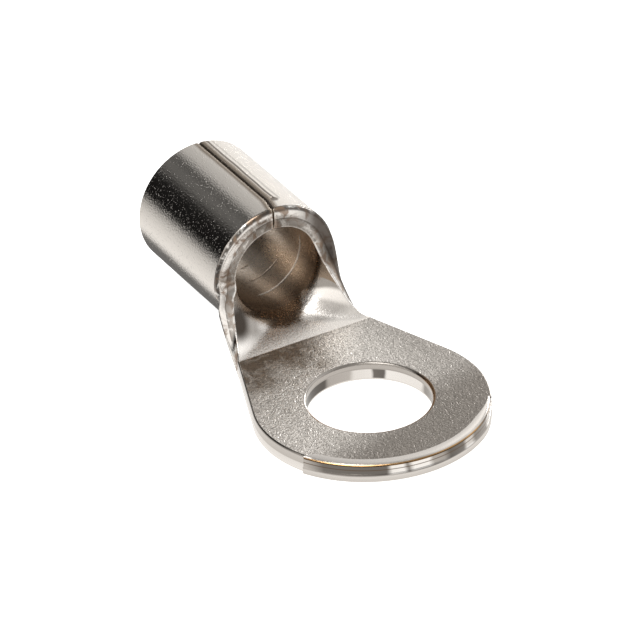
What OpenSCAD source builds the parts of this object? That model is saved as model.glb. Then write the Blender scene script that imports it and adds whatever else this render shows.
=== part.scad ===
// Ring terminal for a crimped cable: one strip of plated copper, stamped, rolled
// and brazed. A flat ring takes the stud, a neck carries it to a rolled barrel for
// the conductor, and the barrel's butt seam lies along the top.
// Origin: centre of the stud hole, on the underside of the tongue.
// +X points to the ring's front, the barrel lies towards -X, +Z is up.
// Left is -Y and right is +Y. All sizes are in millimetres.

/* [Ring] */
// Diameter of the stud hole
stud_d = 6.4; // [5.3:0.1:7]
// Outside width of the ring
ring_w = 12.1; // [11.2:0.1:13.4]
// How far the ring's centre lies ahead of the stud hole
ring_ahead = 0.2; // [0:0.05:0.4]
// Thickness of the flattened tongue
tongue_t = 1; // [0.8:0.05:1.1]
// Rounding of the tongue's upper edge
edge_round = 0.15; // [0.05:0.01:0.2]
// Width of the drawn-in rim round the top of the stud hole
rim_w = 0.3; // [0.1:0.05:0.4]
// Depth of the drawn-in rim round the top of the stud hole
rim_depth = 0.2; // [0.1:0.05:0.4]

/* [Cut-off at the front] */
// Radius of the cut-off, a little more than the ring's
cut_r = 6.35; // [6.15:0.05:6.8]
// Angle over which the cut-off runs round to the left
cut_left_angle = 62; // [40:1:70]
// Angle over which the cut-off runs round to the right
cut_right_angle = 57; // [40:1:70]
// Width of the rolled-over land on top of the cut-off
cut_roll_w = 0.65; // [0.3:0.05:0.9]
// Drop of the rolled-over land at the cut-off
cut_roll_h = 0.12; // [0.06:0.02:0.2]
// Depth of the shear line round the cut-off
shear_depth = 0.07; // [0.03:0.01:0.1]
// Height of the lower lip of the cut-off
burr_h = 0.36; // [0.2:0.02:0.44]
// How far the lower lip stands out beyond the face above it
burr_proud = 0.08; // [0.02:0.02:0.14]

/* [Neck] */
// Distance from the stud hole to the crease across the neck
crease_x = 6.45; // [6.2:0.05:6.8]
// Half width of the neck at the crease, on the left
neck_left_y = 3.85; // [3.6:0.05:4.2]
// Half width of the neck at the crease, on the right
neck_right_y = 4; // [3.7:0.05:4.2]

/* [Barrel] */
// Outside diameter of the barrel
barrel_d = 7.08; // [6.8:0.02:7.4]
// Thickness of the rolled strip
wall_t = 1.15; // [0.9:0.05:1.3]
// Length of the barrel
barrel_l = 8.15; // [6:0.05:12]
// Distance from the stud hole to the barrel's front edge
reach = 9.1; // [9:0.05:10]
// Height of the barrel's underside over the tongue's
barrel_lift = 0.35; // [0.1:0.05:0.5]
// Rounding of the barrel's outer edges
barrel_round = 0.32; // [0.1:0.02:0.4]
// Rounding of the edge at the mouth where the conductor enters
mouth_round = 0.15; // [0.05:0.05:0.3]

/* [Lips of the cradle] */
// Height over the underside at which the left lip leaves the barrel
lip_left_h = 2.2; // [1.6:0.1:2.8]
// Length over which the left lip runs down to the neck
lip_left_l = 2.2; // [1.6:0.1:2.4]
// Run of the left lip: 2 is a round fillet, 1 would be straight
lip_left_run = 2; // [1.7:0.05:2.2]
// Least half width of the left cheek
cheek_left_y = 3.65; // [3.4:0.05:3.7]
// Bend radius of the left cheek, on the outside
bend_left = 3; // [2.8:0.1:3.4]
// Height over the underside at which the right lip leaves the barrel
lip_right_h = 3.2; // [2:0.1:3.3]
// Length over which the right lip runs down to the neck
lip_right_l = 2.55; // [1.8:0.05:2.6]
// Run of the right lip: 2 is a round fillet, 1 would be straight
lip_right_run = 1.65; // [1.3:0.05:2]
// Least half width of the right cheek, which stands open a little
cheek_right_y = 3.8; // [3.6:0.05:3.95]
// Bend radius of the right cheek, on the outside
bend_right = 5.2; // [4.2:0.1:5.6]
// Rounding of the lips' outer corner where they leave the barrel
lip_round = 0.42; // [0.2:0.02:0.5]

/* [Seam] */
// Radius of the rolled-in shoulders of the seam
seam_round = 0.5; // [0.3:0.05:0.7]
// Width of the open line between the butted edges
seam_line_w = 0.1; // [0.06:0.02:0.2]
// Depth of the open line below the shoulders
seam_line_depth = 0.15; // [0.05:0.05:0.3]

/* [Hidden] */
tin = "#b9b2aa";

over = 0.05;                    // how far a cutter reaches past a face
tuck = 0.03;                    // how far one piece's skin dips inside the next
root_l = 0.3;                   // length of the cradle's ends inside barrel and tongue
shoulder_x = 0.02;              // where the cheeks start to step out, ahead of the barrel
shoulder_l = 0.06;              // length over which they step out
waist_blend = 0.12;             // rounding of the change from taper to cheek
ramp = 1.5;                     // curve of the cradle's rise: 1 would be a flat slope
stations = 18;                  // sections along the cradle
arc_steps = 12;                 // points from the middle to a lip
corner_steps = 3;               // points round a corner
outline_step = 5;               // angle between points of the ring's outline
side_levels = 5;                // levels up the flat part of the tongue's side
cut_step = 0.5;                 // angle over which the outline steps out to the cut-off

ring_r = ring_w / 2;
stud_r = stud_d / 2;
barrel_r = barrel_d / 2;
bore_r = barrel_r - wall_t;
axis_z = barrel_lift + barrel_r;
front_x = -reach;
rear_x = -reach - barrel_l;
neck_x = -crease_x;
cut_x = ring_ahead + ring_r - cut_r;    // the cut-off touches the ring's front
$fn = 96;

// ---- helpers ----------------------------------------------------------------

function clamp01(u) = min(max(u, 0), 1);
function mix(a, b, u) = a + (b - a) * u;
function reversed(list) = [for (i = [len(list) - 1 : -1 : 0]) list[i]];
// larger of two lengths, with a rounded change-over
function soft_max(a, b, r) = (a + b + sqrt(pow(a - b, 2) + 4 * r * r) - r) / 2;
// points of an arc from angle a to angle b
function arc(c, r, a, b, n) = [for (i = [0 : n]) let (v = mix(a, b, i / n)) c + r * [cos(v), sin(v)]];

// closed skin over a list of rows of points: the faces of its first end are given by
// their places in a row, and its last end has the same faces the other way round
module skin(rows, end_faces) {
    n = len(rows[0]);
    last = (len(rows) - 1) * n;
    polyhedron(
        points = [for (row = rows) each row],
        faces = concat(
            [for (i = [0 : n : last - 1], j = [0 : n - 1], k = [0 : 1])
                let (a = i + j, b = i + (j + 1) % n)
                k == 0 ? [a, a + n, b] : [b, a + n, b + n]],
            end_faces,
            [for (f = end_faces) [for (j = reversed(f)) last + j]]
        )
    );
}

// ---- ring and neck ----------------------------------------------------------

// angle between a side of the neck and the X axis: the side touches the ring
function side_angle(y) = let (dx = crease_x + ring_ahead)
    asin(ring_r / norm([dx, y])) - atan(y / dx);

// edge of the ring and neck in section, from the underside up: [inset, height]
side_edge = concat(
    [for (i = [0 : side_levels - 1]) [0, (tongue_t - edge_round) * i / side_levels]],
    arc([edge_round, tongue_t - edge_round], edge_round, 180, 90, corner_steps)
);
// edge of the cut-off in section: lower lip, upright face, shear line, rolled land
line_z = tongue_t - cut_roll_h;
cut_edge = concat(
    [
        [0, 0], [0, burr_h], [burr_proud, burr_h + burr_proud / 2],
        [burr_proud, line_z - shear_depth], [burr_proud + shear_depth, line_z - shear_depth / 2]
    ],
    [for (i = [0 : corner_steps]) let (v = 90 * i / corner_steps)
        [burr_proud + cut_roll_w * (1 - cos(v)), line_z + cut_roll_h * sin(v)]]
);

// points of the outline, each as [centre, radius, direction]: left side of the neck,
// left of the ring, cut-off, right of the ring, right side of the neck
function ring_side(angle_from, angle_to) =
    let (n = ceil(abs(angle_to - angle_from) / outline_step))
    [for (i = [0 : n]) [[ring_ahead, 0], ring_r, mix(angle_from, angle_to, i / n), side_edge]];

function cut_side(angle_from, angle_to) =
    let (n = ceil(abs(angle_to - angle_from) / outline_step))
    [for (i = [0 : n]) [[cut_x, 0], cut_r, mix(angle_from, angle_to, i / n), cut_edge]];

// direction from the ring's centre to where the cut-off begins at angle a
function cut_end(a) = a + asin((ring_ahead - cut_x) * sin(a) / ring_r);

// where a side of the neck starts at the crease, as a point on a circle round the ring
function neck_start(y, side) =
    let (a = side_angle(y), d = [neck_x - ring_ahead, y])
    [[ring_ahead, 0] + (d * [cos(a), sin(a)]) * [cos(a), side * sin(a)],
        ring_r, side * (90 + a), side_edge];

// starts at the front, from where the whole outline can be seen
outline = concat(
    cut_side(0, cut_right_angle),
    ring_side(cut_end(cut_right_angle) + cut_step, 90 + side_angle(neck_right_y)),
    [neck_start(neck_right_y, 1), neck_start(neck_left_y, -1)],
    ring_side(-90 - side_angle(neck_left_y), -cut_end(cut_left_angle) - cut_step),
    cut_side(-cut_left_angle, -outline_step)
);

module tongue() {
    rows = [for (level = [0 : len(side_edge) - 1])
        [for (o = outline) let (e = o[3][level], r = o[1] - e[0])
            [o[0][0] + r * cos(o[2]), o[0][1] + r * sin(o[2]), e[1]]]];
    skin(rows, [for (j = [1 : len(outline) - 2]) [0, j, j + 1]]);
}

module stud_hole() {
    rotate_extrude() polygon(concat(
        [[0, -over], [stud_r, -over]],
        [for (i = [0 : corner_steps]) let (v = 90 * i / corner_steps)
            [stud_r + rim_w * (1 - cos(v)), tongue_t - rim_depth + rim_depth * sin(v)]],
        [[stud_r + rim_w, tongue_t + over], [0, tongue_t + over]]
    ));
}

// ---- barrel -----------------------------------------------------------------

// stands the barrel's axis along X: local +X goes up, and angles run to the left
module along_barrel() {
    translate([rear_x, 0, axis_z]) rotate([0, 90, 0]) rotate([0, 0, 180]) children();
}

// angle from the top, round the barrel, down to where a lip leaves it
function lip_angle(h) = 90 + asin((barrel_r - h) / barrel_r);

module barrel_tube() {
    corner = barrel_r - barrel_round;
    along_barrel() difference() {
        rotate_extrude() polygon(concat(
            [[0, 0]],
            arc([corner, barrel_round], barrel_round, -90, 0, corner_steps),
            [[barrel_r, barrel_l], [0, barrel_l]]
        ));
        // outer edge at the front, from lip to lip over the top
        rotate([0, 0, -lip_angle(lip_right_h)])
            rotate_extrude(angle = lip_angle(lip_right_h) + lip_angle(lip_left_h)) polygon(concat(
                arc([corner, barrel_l - barrel_round], barrel_round, 0, 90, corner_steps),
                [[corner, barrel_l + over], [barrel_r + over, barrel_l + over],
                    [barrel_r + over, barrel_l - barrel_round]]
            ));
    }
}

module wire_bore() {
    along_barrel() rotate_extrude() polygon(concat(
        [[0, -over], [bore_r + mouth_round, -over]],
        arc([bore_r + mouth_round, mouth_round], mouth_round, -90, -180, corner_steps),
        [[bore_r, barrel_l + over], [0, barrel_l + over]]
    ));
}

// groove where the two edges of the strip butt, with rolled-in shoulders
module seam_groove() {
    half_line = seam_line_w / 2;
    meet = acos(1 - half_line / seam_round);    // where a shoulder ends at the open line
    right = concat(
        [[half_line, -seam_line_depth]],
        arc([seam_round, 0], seam_round, 180 - meet, 90, 2 * corner_steps),
        [[seam_round, seam_round + over]]
    );
    translate([rear_x - over, 0, axis_z + barrel_r - seam_round]) rotate([90, 0, 90])
        linear_extrude(height = barrel_l + 2 * over)
            polygon(concat(right, [for (p = reversed(right)) [-p[0], p[1]]]));
}

// ---- cradle -----------------------------------------------------------------
// The strip opens from the half tube of the barrel to the flat neck. Each section
// across it is flat in the middle and bends up to a lip on each side. The sections
// are worked out from the barrel, the neck and the two lips.

function lip_l(side) = side < 0 ? lip_left_l : lip_right_l;
function lip_h(side) = side < 0 ? lip_left_h : lip_right_h;
function lip_run(side) = side < 0 ? lip_left_run : lip_right_run;
function cheek_y(side) = side < 0 ? cheek_left_y : cheek_right_y;
function bend_r(side) = side < 0 ? bend_left : bend_right;
function neck_y(side) = side < 0 ? neck_left_y : neck_right_y;

// how far a section is on its way from the barrel to the crease, 0 to 1
function along(x) = clamp01((x - front_x) / (neck_x - front_x));
// share of the barrel's lift and thickness that a section still has
function lifted(x) = 1 - pow(along(x), ramp);
function underside(x) = barrel_lift * lifted(x);
function thickness(x) = mix(tongue_t, wall_t, lifted(x));

// height of a lip's outer corner over the underside
function rise(x, side) =
    let (u = clamp01(1 - (x - front_x) / lip_l(side)), n = lip_run(side))
    lip_h(side) * (1 - pow(1 - pow(u, n), 1 / n));

// distance of a lip's outer corner from the middle plane
function edge_y(x, side) = soft_max(
    neck_y(side) + (x - neck_x) * tan(side_angle(neck_y(side))),
    cheek_y(side), waist_blend
);

// one half of an open section: [flat half width, radius, angle]. High up it is one arc
// from the middle plane; further down it has the cheek's own radius and a flat
function open_bend(x, side) =
    let (
        h = rise(x, side),
        y = edge_y(x, side),
        r = h > tuck ? min(bend_r(side), (y * y + h * h) / (2 * h)) : bend_r(side),
        a = acos(1 - h / r)
    )
    [y - r * sin(a), r, a];

// centre of the rounding at a lip's corner and the angle where it leaves the bend:
// rad is its distance from the bend's centre, q its radius
function corner_at(bend, rad, q) =
    let (m = rad * sin(bend[2]) - q, w = m < 0 ? 0 : bend[2] - asin(q / rad))
    m < 0
        ? [bend[0] + m / cos(bend[2]), bend[1] - rad, 0]
        : [bend[0] + rad * sin(w), bend[1] - rad * cos(w), w];

// points along the flat and the bend at radius r, from the middle to the angle w
function run_points(bend, r, flat, w) =
    let (total = flat + r * w * PI / 180)
    [for (i = [0 : arc_steps]) let (s = total * i / arc_steps)
        s <= flat
            ? [s, bend[1] - r]
            : let (v = (s - flat) / r * 180 / PI) [flat + r * sin(v), bend[1] - r * cos(v)]];

// one half of a section, from the middle of the outer face round the lip to the
// middle of the inner face: t is the thickness, q and p round the two corners
function half_section(bend, t, q, p) =
    let (
        outer = corner_at(bend, bend[1] - q, q),
        inner = corner_at(bend, bend[1] - t + p, p),
        face = bend[2] + 90
    )
    concat(
        run_points(bend, bend[1], min(bend[0], outer[0]), outer[2]),
        [for (i = [1 : corner_steps]) let (v = mix(outer[2], face, i / corner_steps))
            [outer[0] + q * sin(v), outer[1] - q * cos(v)]],
        [for (i = [0 : corner_steps - 1]) let (v = mix(face, inner[2] + 180, i / corner_steps))
            [inner[0] + p * sin(v), inner[1] - p * cos(v)]],
        reversed(run_points(bend, bend[1] - t, min(bend[0], inner[0]), inner[2]))
    );

// closed section at x from its two halves, lifted to height z
function section(x, z, left, right) = concat(
    [for (p = right) [x, p[0], z + p[1]]],
    [for (i = [len(left) - 2 : -1 : 1]) [x, -left[i][0], z + left[i][1]]]
);

// root in the barrel: a trough inside the barrel's wall that ends where the lips do
function root_half(side) = half_section(
    [0, barrel_r - tuck, 180 - lip_angle(lip_h(side))], wall_t - 2 * tuck, tuck, tuck
);

function root_section(x) = section(x, barrel_lift + tuck, root_half(-1), root_half(1));

// end in the tongue: a flat strip that lies inside the tongue
function end_section(x) =
    let (
        t = tongue_t - 2 * tuck,
        left = half_section([neck_left_y - 2 * tuck, bend_left, 0], t, tuck, edge_round),
        right = half_section([neck_right_y - 2 * tuck, bend_right, 0], t, tuck, edge_round)
    )
    section(x, tuck, left, right);

function open_half(x, side) =
    let (u = along(x))
    half_section(open_bend(x, side), thickness(x),
        mix(lip_round, tuck, u), mix(tuck, edge_round, u));

function open_section(x) = section(x, underside(x), open_half(x, -1), open_half(x, 1));

// places of the open sections, closer together towards the barrel and the crease
function station_x(i) =
    mix(front_x + shoulder_x + shoulder_l, neck_x, (1 - cos(180 * i / stations)) / 2);

// faces over the end of a section, across the thickness from lip to lip
function section_faces(half) =
    let (n = 2 * half - 2)
    [for (k = [0 : half / 2 - 2], side = [-1, 1], upper = [0, 1])
        let (
            far = half - 1 - k,
            a = side > 0 || k == 0 ? k : n - k,
            b = side > 0 ? k + 1 : n - k - 1,
            c = side > 0 ? far - 1 : n - far + 1,
            d = side > 0 || k == 0 ? far : n - far,
            f = upper == 0 ? [a, b, c] : [a, c, d]
        )
        side > 0 ? f : reversed(f)];

module cradle() {
    rows = concat(
        [root_section(front_x - root_l), root_section(front_x + shoulder_x)],
        [for (i = [0 : stations]) open_section(station_x(i))],
        [end_section(neck_x + root_l)]
    );
    skin(rows, section_faces(len(rows[0]) / 2 + 1));
}

// ---- the part ---------------------------------------------------------------

module terminal_body() {
    color(tin) difference() {
        union() {
            tongue();
            cradle();
            barrel_tube();
        }
        stud_hole();
        wire_bore();
        seam_groove();
    }
}

terminal_body();
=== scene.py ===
"""Studio scene of a ring terminal: a stamped, rolled and plated copper cable end.

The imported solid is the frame. Its skin is dressed here as sheet metal with soft
edges, a rolled seam, pressed lines inside the barrel and a plated finish.
"""

from __future__ import annotations

import logging
import math
from dataclasses import dataclass, field, replace
from enum import Enum
from functools import reduce

import bpy
from mathutils import Matrix, Vector

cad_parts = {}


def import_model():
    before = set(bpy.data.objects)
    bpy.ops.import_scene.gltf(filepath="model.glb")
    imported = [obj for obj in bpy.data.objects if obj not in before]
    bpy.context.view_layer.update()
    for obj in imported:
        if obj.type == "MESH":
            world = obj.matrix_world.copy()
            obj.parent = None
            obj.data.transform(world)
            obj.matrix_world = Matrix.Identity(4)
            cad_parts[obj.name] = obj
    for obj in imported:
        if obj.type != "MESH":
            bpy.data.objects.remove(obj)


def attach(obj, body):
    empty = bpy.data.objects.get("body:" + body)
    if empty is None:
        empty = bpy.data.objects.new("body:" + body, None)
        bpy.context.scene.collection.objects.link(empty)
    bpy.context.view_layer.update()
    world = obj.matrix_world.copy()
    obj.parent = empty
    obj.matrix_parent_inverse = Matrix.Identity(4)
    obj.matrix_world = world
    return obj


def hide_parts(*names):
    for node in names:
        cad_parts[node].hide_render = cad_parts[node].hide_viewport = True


LOG = logging.getLogger("ring_terminal")
MM = 0.001
NODE = "terminal_body"

Socket = bpy.types.NodeSocket
Colour = tuple[float, float, float, float]
Stops = tuple[tuple[float, float], ...]
Span = Place2 = tuple[float, float]
Place3 = tuple[float, float, float]


# --------------------------------------------------------------------------- helpers


def deselect_all() -> None:
    """Leave edit mode and clear the selection."""
    if bpy.context.object and bpy.context.object.mode != "OBJECT":
        bpy.ops.object.mode_set(mode="OBJECT")
    bpy.ops.object.select_all(action="DESELECT")


class NodeTree:
    """Small helper that adds and links shader nodes."""

    # Green and blue of a grey, and by how much a full brown tint lowers each.
    GREY = ((0.975, 0.075), (0.945, 0.145))
    # Gain on a grey that is read as a number, which makes up for its tint.
    GREY_GAIN = 1.025

    def __init__(self, tree: bpy.types.NodeTree) -> None:
        """Start on a node tree and empty it."""
        self.tree = tree
        tree.nodes.clear()

    def node(self, kind: str, **settings: object) -> bpy.types.Node:
        """Add a node.

        Args:
            kind: The node's type.
            **settings: Attributes to set on it.

        Returns:
            The new node.
        """
        node = self.tree.nodes.new(kind)
        for name, value in settings.items():
            setattr(node, name, value)
        return node

    def link(self, source: Socket, target: Socket) -> None:
        """Join an output to an input."""
        self.tree.links.new(source, target)

    def value(self, source: object, target: Socket) -> None:
        """Feed an input from a socket or set it to a number or colour.

        Args:
            source: A socket or a plain value.
            target: The input.
        """
        if isinstance(source, Socket):
            self.link(source, target)
        else:
            target.default_value = source

    def math(self, operation: str, a: object, b: object = 0.0, c: object = 0.0) -> Socket:
        """Add a Math node.

        Args:
            operation: The node's operation.
            a: First input, a socket or a number.
            b: Second input, a socket or a number.
            c: Third input, a socket or a number.

        Returns:
            The result.
        """
        node = self.node("ShaderNodeMath", operation=operation)
        for source, target in zip((a, b, c), node.inputs):
            self.value(source, target)
        return node.outputs[0]

    def scaled(self, source: object, factor: object, offset: object) -> Socket:
        """Multiply a value and add another: each is a socket or a number."""
        return self.math("MULTIPLY_ADD", source, factor, offset)

    def product(self, *factors: object) -> Socket:
        """Multiply values one after the other, each a socket or a number."""
        return reduce(lambda first, other: self.math("MULTIPLY", first, other), factors)

    def distance(self, a: Socket, b: Socket) -> Socket:
        """Length of a vector that has these two parts."""
        return self.math("SQRT", self.math("ADD", *(self.math("POWER", part, 2.0) for part in (a, b))))

    def axes(self, vector: Socket) -> bpy.types.NodeOutputs:
        """Split a vector.

        Args:
            vector: The vector.

        Returns:
            Its parts, named X, Y and Z.
        """
        node = self.node("ShaderNodeSeparateXYZ")
        self.link(vector, node.inputs[0])
        return node.outputs

    def ramp(self, source: Socket, low: float, high: float, to_low: float = 0.0, to_high: float = 1.0) -> Socket:
        """Map a range smoothly onto another.

        Args:
            source: The value to map.
            low: Where the change starts.
            high: Where the change ends.
            to_low: Result at and below low.
            to_high: Result at and above high.

        Returns:
            The mapped value.
        """
        node = self.node("ShaderNodeMapRange", interpolation_type="SMOOTHSTEP")
        self.value(source, node.inputs["Value"])
        for name, number in (("From Min", low), ("From Max", high), ("To Min", to_low), ("To Max", to_high)):
            node.inputs[name].default_value = number
        return node.outputs["Result"]

    def line(self, source: Socket, centre: float, full: float, gone: float, strength: float = 1.0) -> Socket:
        """Mask of a line where a value is close to centre: full up to one difference, gone from another."""
        return self.ramp(self.math("ABSOLUTE", self.math("SUBTRACT", source, centre)), full, gone, strength, 0.0)

    def mix(self, factor: object, a: object, b: object) -> Socket:
        """Mix two colours.

        Args:
            factor: Share of b, a socket or a number.
            a: First colour.
            b: Second colour.

        Returns:
            The mixed colour.
        """
        node = self.node("ShaderNodeMix", data_type="RGBA")
        for source, index in ((factor, 0), (a, 6), (b, 7)):
            self.value(source, node.inputs[index])
        return node.outputs[2]

    def stops(self, source: Socket, marks: Stops, warmth: float = 0.0) -> Socket:
        """Turn a value between 0 and 1 into a grey by a list of stops.

        Args:
            source: The value.
            marks: Pairs of place and level.
            warmth: How brown the darker levels get.

        Returns:
            The colour.
        """
        node = self.node("ShaderNodeValToRGB")
        self.link(source, node.inputs[0])
        points = node.color_ramp.elements
        for i, (place, level) in enumerate(marks):
            point = points[0] if i == 0 else points.new(place)
            point.position = place
            lack = warmth * (1.0 - level)
            point.color = (level, *(level * (share - drop * lack) for share, drop in self.GREY), 1.0)
        points.remove(points[-1])
        return node.outputs[0]

    def either(self, factor: Socket, a: bpy.types.Node, b: bpy.types.Node) -> Socket:
        """Show one shader or another.

        Args:
            factor: Share of b.
            a: First shader's node.
            b: Second shader's node.

        Returns:
            The shader to show.
        """
        node = self.node("ShaderNodeMixShader")
        for source, target in zip((factor, a.outputs[0], b.outputs[0]), node.inputs):
            self.link(source, target)
        return node.outputs[0]

    def noise(self, vector: Socket, scale: float, detail: float, roughness: float, distortion: float) -> Socket:
        """Add a noise texture.

        Args:
            vector: Coordinates.
            scale: Size of the grain, larger is finer.
            detail: Octaves.
            roughness: Share of the finer octaves.
            distortion: How far the grain is twisted.

        Returns:
            The noise value.
        """
        node = self.node("ShaderNodeTexNoise")
        self.link(vector, node.inputs["Vector"])
        for name, number in (("Scale", scale), ("Detail", detail), ("Roughness", roughness),
                             ("Distortion", distortion)):
            node.inputs[name].default_value = number
        return node.outputs["Fac"]


# --------------------------------------------------------------------------- finishes


class SurfaceGrain:
    """Node group for the plated surface: orange peel, fine grain, soft clouds and flecks."""

    NAME = "surface_grain"
    INPUTS = (("Place", "NodeSocketVector"), ("Peel", "NodeSocketFloat"), ("Grain", "NodeSocketFloat"))
    OUTPUTS = ("Height", "Cloud", "Speck", "Vein", "Fleck")
    # Scale, detail, roughness and distortion of each noise.
    PEEL = (3800.0, 2.0, 0.5, 1.6)
    SPECK = (11000.0, 2.0, 0.6, 0.0)
    CLOUD = (330.0, 3.0, 0.55, 0.4)
    FLECK = (1500.0, 3.0, 0.6, 0.8)
    # Level of the peel at which the thin veins run, and their half width.
    VEIN_LEVEL = 0.47
    VEIN_WIDTH = 0.06

    @classmethod
    def tree(cls) -> bpy.types.NodeTree:
        """Get the group, building it on first use.

        Returns:
            The group's node tree.
        """
        ready = bpy.data.node_groups.get(cls.NAME)
        if ready:
            return ready
        tree = bpy.data.node_groups.new(cls.NAME, "ShaderNodeTree")
        for name, kind in cls.INPUTS:
            tree.interface.new_socket(name=name, in_out="INPUT", socket_type=kind)
        for name in cls.OUTPUTS:
            tree.interface.new_socket(name=name, in_out="OUTPUT", socket_type="NodeSocketFloat")
        net = NodeTree(tree)
        given = net.node("NodeGroupInput").outputs
        made = net.node("NodeGroupOutput").inputs
        peel = net.noise(given["Place"], *cls.PEEL)
        speck = net.noise(given["Place"], *cls.SPECK)
        height = net.math("ADD", net.product(peel, given["Peel"]), net.product(speck, given["Grain"]))
        net.link(height, made["Height"])
        net.link(net.noise(given["Place"], *cls.CLOUD), made["Cloud"])
        net.link(speck, made["Speck"])
        net.link(net.noise(given["Place"], *cls.FLECK), made["Fleck"])
        net.link(net.line(peel, cls.VEIN_LEVEL, 0.0, cls.VEIN_WIDTH), made["Vein"])
        return tree


@dataclass(frozen=True)
class Ground:
    """What a finish works on: its tree, the object's coordinates and the surface grain."""

    net: NodeTree
    place: Socket
    grain: bpy.types.NodeOutputs


@dataclass(frozen=True)
class MetalFinish:
    """What all finishes share: a metal shader with its coordinates, grain and bump."""

    name: str
    peel: float
    grain: float
    bump: float
    rough: Span

    # Range of the specks over which the roughness changes.
    SPECK_RANGE = (0.3, 0.7)

    def build(self) -> bpy.types.Material:
        """Make the material.

        Returns:
            The finished material.
        """
        material = bpy.data.materials.new(self.name)
        material.use_nodes = True
        net = NodeTree(material.node_tree)
        out = net.node("ShaderNodeOutputMaterial")
        shader = net.node("ShaderNodeBsdfPrincipled")
        shader.inputs["Metallic"].default_value = 1.0
        net.link(shader.outputs[0], out.inputs[0])
        place = net.node("ShaderNodeTexCoord").outputs["Object"]
        grain = net.node("ShaderNodeGroup", node_tree=SurfaceGrain.tree())
        net.link(place, grain.inputs["Place"])
        grain.inputs["Peel"].default_value = self.peel
        grain.inputs["Grain"].default_value = self.grain
        colour, height = self.dress(Ground(net, place, grain.outputs))
        net.link(colour, shader.inputs["Base Color"])
        net.link(net.ramp(grain.outputs["Speck"], *self.SPECK_RANGE, *self.rough), shader.inputs["Roughness"])
        bump = net.node("ShaderNodeBump")
        bump.inputs["Strength"].default_value = 1.0
        bump.inputs["Distance"].default_value = self.bump
        net.link(height, bump.inputs["Height"])
        net.link(bump.outputs[0], shader.inputs["Normal"])
        return material

    def dress(self, on: Ground) -> tuple[Socket, Socket]:
        """Colour the surface: every finish has its own way.

        Args:
            on: The surface to dress.

        Returns:
            Its colour, and the height for the bump.
        """
        raise NotImplementedError

    def flat(self, net: NodeTree) -> tuple[Socket, Socket]:
        """Place on the flat blank in millimetres, which is kept in the patch's UV map."""
        blank = net.axes(net.node("ShaderNodeUVMap").outputs[0])
        return blank["X"], blank["Y"]


@dataclass(frozen=True)
class TongueFace(MetalFinish):
    """Plated face of the tongue with its orange peel."""

    name: str = "tongue_face"
    peel: float = 1.0
    grain: float = 0.2
    bump: float = 0.000042
    rough: Span = (0.31, 0.40)
    light: Colour = (0.97, 0.93, 0.88, 1.0)
    shade: Colour = (0.34, 0.31, 0.28, 1.0)
    brown: Colour = (0.33, 0.265, 0.205, 1.0)
    pit: Colour = (0.16, 0.145, 0.13, 1.0)
    # Where the shade comes in, along a slanting line and across.
    shade_slope: float = 0.45
    shade_from: Span = (0.9, 5.4)
    shade_right: Span = (1.0, 5.4)
    # Where the brown patch lies at the neck, and the brown line of painted shade in the crease.
    patch_x: Span = (-2.9, -4.3)
    patch_y: Span = (0.9, -1.0)
    crease_shade_x: Span = (-6.45, -6.27)
    crease_shade_y: Span = (1.6, -0.6)

    def dress(self, on: Ground) -> tuple[Socket, Socket]:
        """Painted shade darker away from the left, brown at the neck, painted shade along the crease, with fine pits.

        Args:
            on: The surface to dress.

        Returns:
            Its colour, and the height for the bump.
        """
        net, grain = on.net, on.grain
        y, x = self.flat(net)
        far = net.scaled(grain["Cloud"], 2.4, net.scaled(y, self.shade_slope, x))
        off = net.math("MAXIMUM", net.ramp(far, *self.shade_from), net.ramp(y, *self.shade_right, 0.0, 0.55))
        colour = net.mix(off, self.light, self.shade)
        patch = net.product(net.ramp(x, *self.patch_x), net.ramp(y, *self.patch_y),
                            net.ramp(grain["Cloud"], 0.30, 0.50), net.ramp(grain["Fleck"], 0.36, 0.54, 0.45, 1.0))
        colour = net.mix(patch, colour, self.brown)
        # Painted shade: a brown line along the crease.
        crease_shade = net.product(net.ramp(x, *self.crease_shade_x, 1.0, 0.0), net.ramp(y, *self.crease_shade_y), 0.9)
        colour = net.mix(crease_shade, colour, self.brown)
        pits = net.scaled(grain["Vein"], 0.55, net.ramp(grain["Speck"], 0.35, 0.6, 0.30, 0.0))
        return net.mix(pits, colour, self.pit), grain["Height"]


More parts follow.
